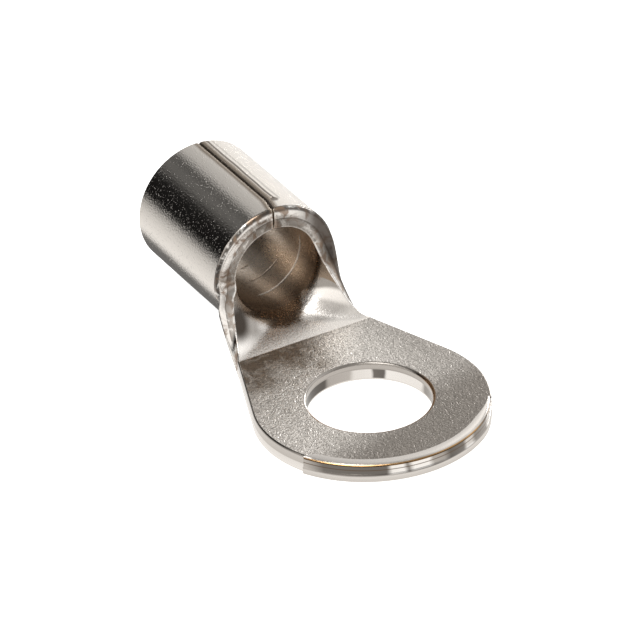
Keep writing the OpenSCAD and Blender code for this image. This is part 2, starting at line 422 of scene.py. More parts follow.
@dataclass(frozen=True)
class BarrelFace(MetalFinish):
    """Smooth plated outside of the barrel and the cradle, with the filled seam."""

    name: str = "barrel_face"
    peel: float = 0.05
    grain: float = 0.6
    bump: float = 0.000019
    rough: Span = (0.08, 0.15)
    colour: Colour = (0.80, 0.765, 0.72, 1.0)
    brown: Colour = (0.27, 0.22, 0.17, 1.0)
    dark: Colour = (0.10, 0.075, 0.055, 1.0)
    # Side place of the seam, in millimetres, and where it swings there, in metres.
    seam_y: float = 0.2
    swing_x: Span = (-0.0091, -0.0104)
    top_z: Span = (0.0062, 0.0066)
    # Side place and strength of the fill's lines, and where they end in a dimple.
    lines: Stops = ((0.64, 0.85), (0.93, 0.3))
    fill_x: float = -10.15

    def dress(self, on: Ground) -> tuple[Socket, Socket]:
        """Brown beside the seam, the two lines of its fill and the dimple at their end.

        Args:
            on: The surface to dress.

        Returns:
            Its colour, and the height for the bump.
        """
        net, grain = on.net, on.grain
        axes = net.axes(on.place)
        x = axes["X"]
        wave = net.scaled(grain["Cloud"], 0.00022, -0.00011)
        y = net.math("SUBTRACT", net.math("ADD", axes["Y"], wave), net.ramp(x, *self.swing_x, 0.0, self.seam_y * MM))
        top = net.ramp(axes["Z"], *self.top_z)
        stain = net.product(net.line(y, 0.00002, 0.00022, 0.00045), top, 0.9)
        colour = net.mix(stain, self.colour, self.brown)
        height = net.scaled(net.ramp(grain["Speck"], 0.62, 0.74), 0.2, grain["Height"])
        filled = net.product(net.ramp(x, (self.fill_x + 0.05) * MM, (self.fill_x - 0.1) * MM), top)
        for side, strength in self.lines:
            line = net.product(net.line(y, (side - self.seam_y) * MM, 0.00003, 0.00010, strength), filled)
            colour = net.mix(line, colour, self.dark)
            height = net.scaled(line, -0.6, height)
        dimple = net.distance(net.math("SUBTRACT", x, self.fill_x * MM),
                              net.math("SUBTRACT", y, (self.lines[0][0] - self.seam_y) * MM))
        dimple = net.product(net.ramp(dimple, 0.00012, 0.00028, 1.0, 0.0), top)
        return net.mix(net.product(dimple, 0.8), colour, self.dark), net.scaled(dimple, -0.8, height)


@dataclass(frozen=True)
class CradleFace(MetalFinish):
    """Inside of the cradle, with painted shade: dark where it still hollows, light on the way to the crease."""

    name: str = "cradle_face"
    peel: float = 0.35
    grain: float = 0.2
    bump: float = 0.00002
    rough: Span = (0.24, 0.32)
    light: Colour = (0.97, 0.93, 0.885, 1.0)
    # Colours of painted shade: on the flanks, in the hollow and in the spot on the left.
    middle: Colour = (0.34, 0.315, 0.29, 1.0)
    dark: Colour = (0.26, 0.20, 0.15, 1.0)
    spot_shade: Colour = (0.04, 0.031, 0.024, 1.0)
    # Border of the hollow's painted shade: pairs of side place and place along, kept in a ramp.
    border: Stops = (
        (-4.4, -8.80), (-2.6, -8.50), (-1.57, -8.05), (-1.08, -7.75), (-0.30, -7.50), (0.49, -7.65), (1.15, -7.95),
        (1.60, -8.35), (1.95, -8.90), (2.34, -9.20), (3.4, -8.98), (4.1, -8.60), (4.4, -8.4))
    border_width: float = 8.8
    border_low: float = -10.0
    border_span: float = 4.0
    # Centre of the painted shade spot on the left, and by how much it is drawn in each way.
    spot: Place2 = (-3.65, -8.1)
    spot_squeeze: Span = (1.1, 1.35)
    # Slope of the painted highlight streak on the right, between bands of painted shade.
    highlight_slope: float = -0.89

    def hollow_shade(self, net: NodeTree, s: Socket, x: Socket, ragged: Socket) -> Socket:
        """Mask of the painted shade in the hollow in front of the barrel.

        Args:
            net: The material's tree.
            s: Side place on the blank.
            x: Place along the blank.
            ragged: What makes the border uneven.

        Returns:
            The mask.
        """
        marks = tuple((0.5 + side / self.border_width, (end - self.border_low) / self.border_span)
                      for side, end in self.border)
        level = net.stops(net.scaled(s, 1.0 / self.border_width, 0.5), marks)
        border = net.scaled(level, self.border_span * NodeTree.GREY_GAIN, self.border_low)
        return net.ramp(net.math("ADD", net.math("SUBTRACT", x, border), ragged), -0.25, 0.18, 1.0, 0.0)

    def dress(self, on: Ground) -> tuple[Socket, Socket]:
        """Painted shade in the hollow and in a spot, shaded greyer flanks and a painted highlight streak on the
        right.

        Args:
            on: The surface to dress.

        Returns:
            Its colour, and the height for the bump.
        """
        net, grain = on.net, on.grain
        s, x = self.flat(net)
        cloud = net.scaled(grain["Cloud"], 0.6, -0.3)
        ragged = net.math("ADD", net.scaled(grain["Speck"], 0.5, -0.25), cloud)
        # Painted shade: a near-black spot on the left flank.
        near = net.distance(*(net.product(net.math("SUBTRACT", part, centre), squeeze)
                              for part, centre, squeeze in zip((s, x), self.spot, self.spot_squeeze)))
        spot = net.ramp(net.math("ADD", near, cloud), 0.4, 1.25, 0.95, 0.0)
        # Painted shade on the left flank, and on the right flank beside a painted highlight streak.
        left = net.product(net.ramp(s, -1.3, -2.4), net.ramp(x, -7.0, -7.9))
        slant = net.scaled(s, self.highlight_slope, x)
        shade_beside_highlight = net.math("MAXIMUM", net.ramp(slant, -10.75, -10.3, 0.0, 0.6), net.ramp(slant, -11.2, -11.55))
        right = net.product(net.ramp(s, 0.7, 1.6), net.ramp(x, -6.9, -7.4), shade_beside_highlight)
        open_colour = net.mix(net.math("MAXIMUM", left, right), self.light, self.middle)
        colour = net.mix(self.hollow_shade(net, s, x, ragged), open_colour, self.dark)
        return net.mix(spot, colour, self.spot_shade), grain["Height"]


@dataclass(frozen=True)
class BoreFace(MetalFinish):
    """Duller plating inside the barrel, with the fine lines pressed round it."""

    name: str = "bore_face"
    peel: float = 0.10
    grain: float = 0.12
    bump: float = 0.00003
    rough: Span = (0.25, 0.38)
    colour: Colour = (0.88, 0.78, 0.68, 1.0)
    dark: Colour = (0.46, 0.37, 0.29, 1.0)
    mouth_shade: Colour = (0.24, 0.185, 0.14, 1.0)
    bright: Colour = (0.97, 0.93, 0.88, 1.0)
    # Where painted shade darkens the mouth, along the bore and round it.
    mouth_x: Span = (-10.9, -9.3)
    mouth_run: Span = (7.5, 4.5)
    # Pressed lines: place along, run from and to, and strength, a painted highlight where positive, dark where
    # negative.
    lines: tuple[tuple[float, float, float, float], ...] = (
        (-10.74, -0.5, 6.4, 1.0), (-12.14, 0.2, 3.2, -0.9), (-13.45, 0.4, 1.2, -0.7))
    line_fade: float = 0.4

    def dress(self, on: Ground) -> tuple[Socket, Socket]:
        """Painted shade darker to the left and at the mouth, with painted highlight lines and dark lines.

        Args:
            on: The surface to dress.

        Returns:
            Its colour, and the height for the bump.
        """
        net, grain = on.net, on.grain
        run, along = self.flat(net)
        cloud = net.ramp(grain["Cloud"], 0.36, 0.66, 0.0, 0.45)
        # Darker in random clouds and, as painted shade, towards the left; painted shade also darkens the mouth.
        low = net.ramp(net.scaled(grain["Cloud"], 1.5, run), 2.2, -1.0)
        mouth = net.product(net.ramp(along, *self.mouth_x, 0.0, 0.95), net.ramp(run, *self.mouth_run))
        colour = net.mix(net.math("MAXIMUM", cloud, low), self.colour, self.dark)
        colour = net.mix(mouth, colour, self.mouth_shade)
        height = grain["Height"]
        for x, start, end, strength in self.lines:
            ends = net.product(net.ramp(run, start, start + self.line_fade),
                               net.ramp(run, end - self.line_fade, end, 1.0, 0.0))
            line = net.product(net.line(along, x, 0.03, 0.07, abs(strength)), ends)
            colour = net.mix(line, colour, self.bright if strength > 0.0 else self.dark)
            height = net.scaled(line, -1.6, height)
        return colour, height


@dataclass(frozen=True)
class ShearedEdge(MetalFinish):
    """Cut faces of the strip: bands across the thickness, partly painted reflection, and blocks of painted reflection
    along the run.
    """

    name: str = "sheared_edge"
    peel: float = 0.1
    grain: float = 0.2
    bump: float = 0.00001
    rough: Span = (0.14, 0.24)
    # Levels across the thickness, from the outer face to the inner one: the burnish and fracture zones, with painted
    # reflections on the roundings.
    bands: Stops = (
        (0.0, 0.50), (0.05, 0.10), (0.13, 0.14), (0.18, 0.85), (0.50, 0.90), (0.54, 0.22), (0.59, 0.42), (0.90, 0.48),
        (0.96, 0.95))
    # Painted reflections: light and dark levels along the run, and the part of the thickness that shows them.
    reflection_blocks: Stops = ()
    block_span: Span = (0.3, 0.86)
    # Strengths of the single effects.
    right_shade: float = 0.0
    rim_brown: float = 0.0
    glint: float = 0.0
    stain_and_glint: float = 0.0
    bright: Colour = (0.97, 0.94, 0.90, 1.0)
    stain: Colour = (0.27, 0.19, 0.135, 1.0)
    copper: Colour = (0.50, 0.30, 0.13, 1.0)
    rim_copper: Colour = (0.30, 0.17, 0.08, 1.0)
    groove: Colour = (0.12, 0.08, 0.05, 1.0)
    shade: Colour = (0.06, 0.045, 0.035, 1.0)

    def dress(self, on: Ground) -> tuple[Socket, Socket]:
        """Bands, partly painted reflection, blocks of painted reflection, and what this edge has of glints, stains
        and shade.

        Args:
            on: The surface to dress.

        Returns:
            Its colour, and the height for the bump.
        """
        net, grain = on.net, on.grain
        run, depth = self.flat(net)
        wave = net.scaled(grain["Cloud"], 0.08, -0.04)
        colour = net.stops(net.math("ADD", depth, wave), self.bands, 1.0)
        # Painted reflections: light and dark blocks along the run, across the middle of the thickness.
        if self.reflection_blocks:
            low, high = self.block_span
            inside = net.product(net.ramp(depth, low - 0.03, low + 0.03),
                                 net.ramp(depth, high - 0.03, high + 0.03, 1.0, 0.0))
            colour = net.mix(inside, colour, net.stops(net.math("ADD", run, wave), self.reflection_blocks, 1.0))
        if self.glint:
            spots = net.product(net.line(depth, 0.905, 0.02, 0.05), net.ramp(grain["Cloud"], 0.38, 0.5), self.glint)
            colour = net.mix(spots, colour, self.copper)
            colour = net.mix(net.line(depth, 0.64, 0.015, 0.035, 0.8), colour, self.groove)
        # Brown stains, and painted white glints between them.
        if self.stain_and_glint:
            fleck = net.scaled(grain["Cloud"], 0.4, net.product(grain["Fleck"], 0.6))
            colour = net.mix(net.ramp(fleck, 0.47, 0.59, 0.0, self.stain_and_glint), colour, self.stain)
            colour = net.mix(net.ramp(fleck, 0.47, 0.40, 0.0, 0.7), colour, self.bright)
        if self.rim_brown:
            rim = net.product(net.ramp(depth, 0.86, 0.89), net.ramp(net.axes(on.place)["X"], -0.0010, 0.0005),
                              self.rim_brown)
            colour = net.mix(rim, colour, self.rim_copper)
        if self.right_shade:
            band = net.product(net.ramp(depth, 0.52, 0.80, 1.0, 0.0),
                               net.ramp(net.axes(on.place)["Y"], 0.0010, 0.0026), self.right_shade)
            colour = net.mix(band, colour, self.shade)
        return colour, grain["Height"]


class Finish(Enum):
    """Finishes of the strip's surfaces."""

    TONGUE = TongueFace()
    BARREL = BarrelFace()
    CRADLE = CradleFace()
    BORE = BoreFace()
    LIP = ShearedEdge(name="lip_edge", right_shade=0.92, stain_and_glint=0.85)
    SIDE = ShearedEdge(
        name="side_edge",
        bands=((0.0, 0.7), (0.1, 0.85), (0.45, 0.8), (0.5, 0.55), (0.86, 0.62), (0.93, 0.3), (0.99, 0.3)))
    CUT = ShearedEdge(
        name="cut_edge", glint=0.9, block_span=(0.36, 0.85),
        bands=((0.0, 0.6), (0.30, 0.72), (0.36, 0.35), (0.84, 0.4), (0.86, 0.08), (0.92, 0.10), (0.945, 0.62),
               (0.97, 0.80)),
        reflection_blocks=((0.0, 0.5), (0.08, 0.18), (0.33, 0.16), (0.35, 0.9), (0.40, 0.95), (0.42, 0.25), (0.44, 0.95),
                (0.51, 0.95), (0.53, 0.45), (0.58, 0.4), (0.60, 0.15), (0.67, 0.2), (0.69, 0.7), (0.73, 0.65),
                (0.75, 0.25), (0.84, 0.3), (0.87, 0.8)))
    STUD = ShearedEdge(
        name="stud_edge", rim_brown=0.9, rough=(0.16, 0.26), block_span=(0.1, 0.62),
        bands=((0.0, 0.9), (0.1, 0.75), (0.2, 0.6), (0.6, 0.55), (0.66, 0.42), (0.72, 0.5), (0.88, 0.5),
               (0.95, 0.34)),
        reflection_blocks=((0.0, 0.35), (0.25, 0.3), (0.265, 0.85), (0.37, 0.9), (0.38, 0.15), (0.415, 0.18), (0.42, 0.85),
                (0.46, 0.8), (0.47, 0.5), (0.525, 0.45), (0.54, 0.12), (0.61, 0.12)))


# --------------------------------------------------------------------------- the blank


def clamp01(value: float) -> float:
    """Keep a number between 0 and 1."""
    return min(max(value, 0.0), 1.0)


def ease(value: float) -> float:
    """Run smoothly from 0 to 1."""
    part = clamp01(value)
    return part * part * (3.0 - 2.0 * part)


def mix(low: float, high: float, share: float) -> float:
    """Blend two numbers."""
    return low + (high - low) * share


def spread(low: float, high: float, count: int) -> list[float]:
    """Spread count + 1 numbers evenly from low to high."""
    return [mix(low, high, i / count) for i in range(count + 1)]


class EdgeForm(Enum):
    """How an edge of the blank was made."""

    STAMPED = "stamped"
    CUT_OFF = "cut off"


@dataclass(frozen=True)
class EdgePoint:
    """Point of the blank's outline, in millimetres on the flat blank."""

    x: float
    s: float
    # Direction out of the sheet.
    out_x: float
    out_s: float
    # Rounding at the outer face: its width, and its depth where that isn't the same.
    outer: float
    outer_d: float = 0.0
    # Rounding at the inner face, its width and its depth.
    inner_w: float = 0.05
    inner_d: float = 0.05
    form: EdgeForm = EdgeForm.STAMPED

    # Section of the cut-off edge up to its groove, as pairs of inset and depth.
    CUT_PROFILE = ((0.03, 0.0), (0.0, 0.03), (0.0, 0.2), (0.0, 0.33), (0.03, 0.38), (0.075, 0.42), (0.085, 0.65),
                   (0.085, 0.84), (0.16, 0.872), (0.09, 0.9))
    # Degrees at which the rolled rim behind the groove has its points.
    CUT_ROLL = (28.0, 55.0, 75.0, 90.0)

    def inset(self, amount: float) -> Place2:
        """Go from the edge into the sheet by a distance."""
        return self.x - amount * self.out_x, self.s - amount * self.out_s

    def border(self, inner: bool) -> Place2:
        """Place where the rounding meets the inner face, or else the outer one."""
        return self.inset(self.inner_w if inner else self.outer)

    def profile(self, thickness: float) -> list[Place2]:
        """Section through the edge, from the outer face to the inner face.

        Args:
            thickness: The sheet's thickness here.

        Returns:
            Fourteen pairs of inset and depth.
        """
        if self.form is EdgeForm.CUT_OFF:
            foot, foot_d = self.CUT_PROFILE[-1]
            roll = [(mix(self.inner_w, foot, math.cos(a)), foot_d + self.inner_d * math.sin(a))
                    for a in map(math.radians, self.CUT_ROLL)]
            return [*self.CUT_PROFILE, *roll]
        deep = self.outer_d or self.outer
        low = [(self.outer * (1.0 - math.sin(a)), deep * (1.0 - math.cos(a))) for a in spread(0.0, math.pi / 2, 4)]
        face = [(0.0, mix(deep, thickness - self.inner_d, share)) for share in (0.25, 0.5, 0.75)]
        top = [(self.inner_w * (1.0 - math.cos(a)), thickness - self.inner_d * (1.0 - math.sin(a)))
               for a in spread(0.0, math.pi / 2, 5)]
        return low + face + top


@dataclass(frozen=True)
class Cheek:
    """One side of the cradle, where the strip opens from the barrel to the neck."""

    # -1 on the left, 1 on the right.
    side: int
    # Height of the lip at the barrel, its length, and the power of its curve.
    lip_h: float
    lip_l: float
    power: float
    # Least distance of the lip from the middle plane, and the bend's radius once open.
    least_y: float
    bend_r: float
    # Half width at the neck, and how fast it grows towards the ring.
    neck_y: float
    taper: float
    # Length over which the section goes over from the barrel's radius to the bend's.
    shoulder: float
    # Width and depth of the lip's rounding.
    roll: Span


@dataclass
class Blank:
    """The flat strip and the way it is rolled: sizes in millimetres."""

    # Stud hole, with the rim drawn in on top and the small rounding underneath.
    stud_r: float = 3.2
    rim_w: float = 0.14
    rim_d: float = 0.12
    stud_round: float = 0.03
    # Ring, and the larger circle that cuts its front off, with its ends in degrees.
    ring_r: float = 6.0465
    ring_x: float = 0.2
    cut_r: float = 6.35
    cut_left: float = 62.0
    cut_right: float = 57.0
    # How the cut-off edge runs out at its ends: degrees left and right, dip on the right.
    fade_left: float = 5.0
    fade_right: float = 22.0
    cut_dip: float = 0.13
    cut_round: float = 0.03
    cut_land: Span = (0.2, 0.58)
    cut_land_d: float = 0.1
    # Angle between the end of the cut-off edge and the ring's side, in radians.
    step_angle: float = 0.006
    # Strip, crease and barrel.
    tongue_t: float = 1.0
    wall_t: float = 1.15
    neck_x: float = -6.45
    front_x: float = -9.1
    rear_x: float = -17.25
    barrel_r: float = 3.53
    lift: float = 0.35
    lift_power: float = 1.5
    waist_blend: float = 0.12
    # Seam: half its gap, its rounding, and how far right of the middle it runs behind the front.
    seam_gap: float = 0.006
    seam_round: float = 0.26
    seam_deep: float = 0.11
    seam_shift: float = 0.2
    shift_run: float = 1.3
    shift_from: float = 2.5
    shift_width: float = 2.4
    # Corners of the barrel's sheet on the blank, and the roundings of the single edges.
    corner: float = 0.16
    front_round: float = 0.30
    rear_round: float = 0.2
    side_round: float = 0.06
    neck_round: float = 0.08
    inner_round: float = 0.05
    mouth_round: float = 0.15
    # Length over which the barrel's rounding goes over to the lip's, and over which the edge turns.
    roll_run: float = 1.0
    turn_run: float = 0.04
    left: Cheek = Cheek(side=-1, lip_h=3.815, lip_l=2.6, power=1.646, least_y=3.854, bend_r=5.14, neck_y=3.85,
                        taper=0.408, shoulder=0.34, roll=(0.34, 0.54))
    right: Cheek = Cheek(side=1, lip_h=4.82, lip_l=2.58, power=1.35, least_y=3.78, bend_r=4.5, neck_y=4.0,
                         taper=0.385, shoulder=0.68, roll=(0.83, 0.95))
    # Faces round the barrel below and above the lips, along it, and along the tongue's edges.
    low_columns: int = 28
    up_columns: int = 30
    barrel_rows: int = 34
    cut_columns: int = 34
    ring_columns: int = 26
    taper_columns: int = 12

    # Rows of the cradle: degrees of the curve at the barrel, distances from the crease.
    ROW_DEGREES = range(0, 81, 5)
    ROW_ENDS = (0.40, 0.28, 0.14, 0.05, 0.0)
    # Degrees at which the barrel's corners have points: the last one belongs to the seam.
    CORNER_DEGREES = (22.5, 45.0, 67.5)

    # ---- how the strip is bent

    def share_open(self, x: float) -> float:
        """How far the strip is on its way from the barrel to the crease."""
        return clamp01((x - self.front_x) / (self.neck_x - self.front_x))

    def lifted(self, x: float) -> float:
        """Share of the barrel's height and thickness that is left."""
        return 1.0 - self.share_open(x) ** self.lift_power

    def thickness(self, x: float) -> float:
        """Thickness of the strip."""
        return mix(self.tongue_t, self.wall_t, self.lifted(x))

    def rise(self, x: float, cheek: Cheek) -> float:
        """Height of a lip's edge over the underside."""
        u = clamp01(1.0 - (x - self.front_x) / cheek.lip_l)
        return cheek.lip_h * (1.0 - (1.0 - u ** cheek.power) ** (1.0 / cheek.power))

    def half_width(self, x: float, cheek: Cheek) -> float:
        """Distance of a lip's edge from the middle plane: its taper, blended into the least one."""
        y, least, blend = cheek.neck_y + (x - self.neck_x) * cheek.taper, cheek.least_y, self.waist_blend
        return (y + least + math.sqrt((y - least) ** 2 + 4 * blend * blend) - blend) / 2

    def bend(self, x: float, cheek: Cheek) -> Span:
        """Flat half width and outer bend radius of a section.

        Args:
            x: Place along the part.
            cheek: The side.

        Returns:
            The flat half width and the radius.
        """
        if x <= self.front_x:
            return 0.0, self.barrel_r
        opened = ease((x - self.front_x) / cheek.shoulder)
        height = self.rise(x, cheek)
        on_barrel = self.barrel_r * math.sin(math.acos(1.0 - height / self.barrel_r))
        edge = mix(on_barrel, self.half_width(x, cheek), opened)
        whole = (edge * edge + height * height) / (2.0 * max(height, 0.01))
        radius = min(mix(self.barrel_r, cheek.bend_r, opened), whole)
        return edge - radius * math.sin(math.acos(1.0 - height / radius)), radius

    def lip_run(self, x: float, cheek: Cheek) -> float:
        """Length of the section from the middle to the lip's edge."""
        flat, radius = self.bend(x, cheek)
        return flat + radius * math.acos(1.0 - self.rise(x, cheek) / radius)

    def place(self, x: float, s: float, depth: float) -> Place3:
        """Roll a point of the blank to its place.

        Args:
            x: Place along the part.
            s: Run from the middle line, right positive.
            depth: Depth below the outer face.

        Returns:
            The point in space.
        """
        if x >= self.neck_x:
            return x, s, depth
        cheek = self.left if s < 0.0 else self.right
        sign, run = math.copysign(1.0, s), abs(s)
        base = self.lift * self.lifted(x)
        flat, radius = self.bend(x, cheek)
        if run <= flat:
            return x, sign * run, base + depth
        angle = (run - flat) / radius
        return (x, sign * (flat + (radius - depth) * math.sin(angle)),
                base + radius - (radius - depth) * math.cos(angle))

    # ---- the outline

    def lip_stations(self) -> list[float]:
        """Places of the cradle's rows, from the barrel to the crease."""
        curve = [self.front_x + self.left.lip_l * (1.0 - math.cos(math.radians(a))) for a in self.ROW_DEGREES]
        return curve + [self.neck_x - distance for distance in self.ROW_ENDS]

    def lip_edge(self, cheek: Cheek) -> list[EdgePoint]:
        """Edge of a lip from the barrel to the crease.

        Args:
            cheek: The side.

        Returns:
            One point per row of the cradle.
        """
        stations = self.lip_stations()
        runs = [self.lip_run(x, cheek) for x in stations]
        points = []
        for i, (x, run) in enumerate(zip(stations, runs)):
            a, b = max(i - 1, 0), min(i + 1, len(stations) - 1)
            slope = math.atan2(stations[b] - stations[a], max(runs[a] - runs[b], 1e-6))
            angle = slope * clamp01((x - self.front_x) / self.turn_run)
            share = self.share_open(x)
            near = ease((x - self.front_x) / self.roll_run)
            outer, outer_d = (mix(mix(self.front_round, roll, near), self.neck_round, share ** 2)
                              for roll in cheek.roll)
            inner = mix(self.inner_round, self.neck_round, share)
            points.append(EdgePoint(x, cheek.side * run, math.cos(angle), cheek.side * math.sin(angle),
                                    outer, outer_d, inner, inner))
        return points

    def corner_point(self, side: int, degrees: float, way: float) -> EdgePoint:
        """Point on a rounded corner of the barrel's sheet.

        Args:
            side: -1 on the left, 1 on the right.
            degrees: How far round the corner, 90 at the seam.
            way: 1 at the front, -1 at the rear.

        Returns:
            The point.
        """
        a, share, r = math.radians(degrees), degrees / 90.0, self.corner
        end, rounding, inner = ((self.front_x, self.front_round, self.inner_round) if way > 0.0 else
                                (self.rear_x, self.rear_round, self.mouth_round))
        outer = mix(rounding, self.seam_round, share)
        inner = mix(inner, self.inner_round, share)
        return EdgePoint(end - way * r + way * r * math.cos(a), side * (self.seam_run() - r + r * math.sin(a)),
                         way * math.cos(a), side * math.sin(a), outer, mix(outer, self.seam_deep, share),
                         inner, inner)

    def seam_run(self) -> float:
        """Run from the middle line to the seam's edge."""
        return math.pi * self.barrel_r - self.seam_gap

    def barrel_edge(self, cheek: Cheek) -> tuple[list[EdgePoint], list[EdgePoint], list[EdgePoint]]:
        """Front edge, seam edge and rear edge of one half of the barrel.

        Args:
            cheek: The side.

        Returns:
            Front edge from the lip up, seam edge from front to rear, rear edge from the top down.
        """
        side = cheek.side
        lip = self.lip_run(self.front_x, cheek)
        columns = spread(lip, self.seam_run() - self.corner, self.up_columns)
        front_corner, rear_corner = ([self.corner_point(side, degrees, way) for degrees in self.CORNER_DEGREES]
                                     for way in (1.0, -1.0))
        front = [EdgePoint(self.front_x, side * s, 1.0, 0.0, self.front_round) for s in columns]
        rear = [EdgePoint(self.rear_x, side * s, -1.0, 0.0, self.rear_round, 0.0, self.mouth_round, self.mouth_round)
                for s in spread(0.0, lip, self.low_columns)[:-1] + columns]
        seam = [EdgePoint(x, side * self.seam_run(), 0.0, float(side), self.seam_round, self.seam_deep)
                for x in spread(self.front_x - self.corner, self.rear_x + self.corner, self.barrel_rows)]
        front, seam, rear = ([self.shifted(point) for point in part] for part in (
            front + front_corner[:-1], [front_corner[-1]] + seam + [rear_corner[-1]], rear + rear_corner[:-1]))
        return front, seam, rear[::-1]

    def shifted(self, point: EdgePoint) -> EdgePoint:
        """Move a point near the seam to where the seam runs, right of the middle behind the front."""
        near = clamp01((abs(point.s) - math.pi * self.barrel_r + self.shift_from) / self.shift_width)
        return replace(point, s=point.s - self.seam_shift * (ease((self.front_x - point.x) / self.shift_run) * near))

    def tongue_edge(self, cheek: Cheek) -> list[EdgePoint]:
        """Edge of one half of the tongue from the front to the crease.

        Args:
            cheek: The side.

        Returns:
            The points, the last one on the crease.
        """
        side = cheek.side
        limit, fade_out, dip = ((self.cut_left, self.fade_left, 0.0) if side < 0 else
                                (self.cut_right, self.fade_right, self.cut_dip))
        limit = math.radians(limit)
        cut_x = self.ring_x + self.ring_r - self.cut_r
        points = []
        for a in spread(0.0, limit, self.cut_columns):
            fade = ease((limit - a) / math.radians(fade_out))
            radius = self.cut_r - dip * (1.0 - fade)
            points.append(EdgePoint(cut_x + radius * math.cos(a), side * radius * math.sin(a), math.cos(a),
                                    side * math.sin(a), self.cut_round, 0.0, mix(*self.cut_land, fade),
                                    self.cut_land_d, EdgeForm.CUT_OFF))
        width = self.half_width(self.neck_x, cheek)
        dx = self.ring_x - self.neck_x
        lean = math.asin(self.ring_r / math.hypot(dx, width)) - math.atan2(width, dx)
        start = limit + math.asin((self.ring_x - cut_x) * math.sin(limit) / self.ring_r)
        inner = self.neck_round, self.neck_round
        for a in spread(start + self.step_angle, math.pi / 2 + lean, self.ring_columns):
            points.append(EdgePoint(self.ring_x + self.ring_r * math.cos(a), side * self.ring_r * math.sin(a),
                                    math.cos(a), side * math.sin(a), self.side_round, 0.0, *inner))
        last = points[-1]
        for share in spread(0.0, 1.0, self.taper_columns)[1:]:
            points.append(EdgePoint(mix(last.x, self.neck_x, share), mix(last.s, side * width, share),
                                    -math.sin(lean), side * math.cos(lean),
                                    mix(self.side_round, self.neck_round, share), 0.0, *inner))
        return points


# --------------------------------------------------------------------------- the part


def coons(front: list[Place2], rear: list[Place2], left: list[Place2], right: list[Place2]) -> list[list[Place2]]:
    """Fill a four-sided field of the blank from its borders.

    Args:
        front: Border at the first row, from left to right.
        rear: Border at the last row, from left to right.
        left: Border at the first column, from front to rear.
        right: Border at the last column, from front to rear.

    Returns:
        Rows of places.
    """
    rows, columns = len(left) - 1, len(front) - 1
    filled = []
    for i in range(rows + 1):
        v = i / rows
        row = []
        for j in range(columns + 1):
            u = j / columns
            place = []
            for k in (0, 1):
                edges = (1 - v) * front[j][k] + v * rear[j][k] + (1 - u) * left[i][k] + u * right[i][k]
                corners = ((1 - u) * (1 - v) * front[0][k] + u * (1 - v) * front[-1][k]
                           + (1 - u) * v * rear[0][k] + u * v * rear[-1][k])
                place.append(edges - corners)
            row.append((place[0], place[1]))
        filled.append(row)
    return filled


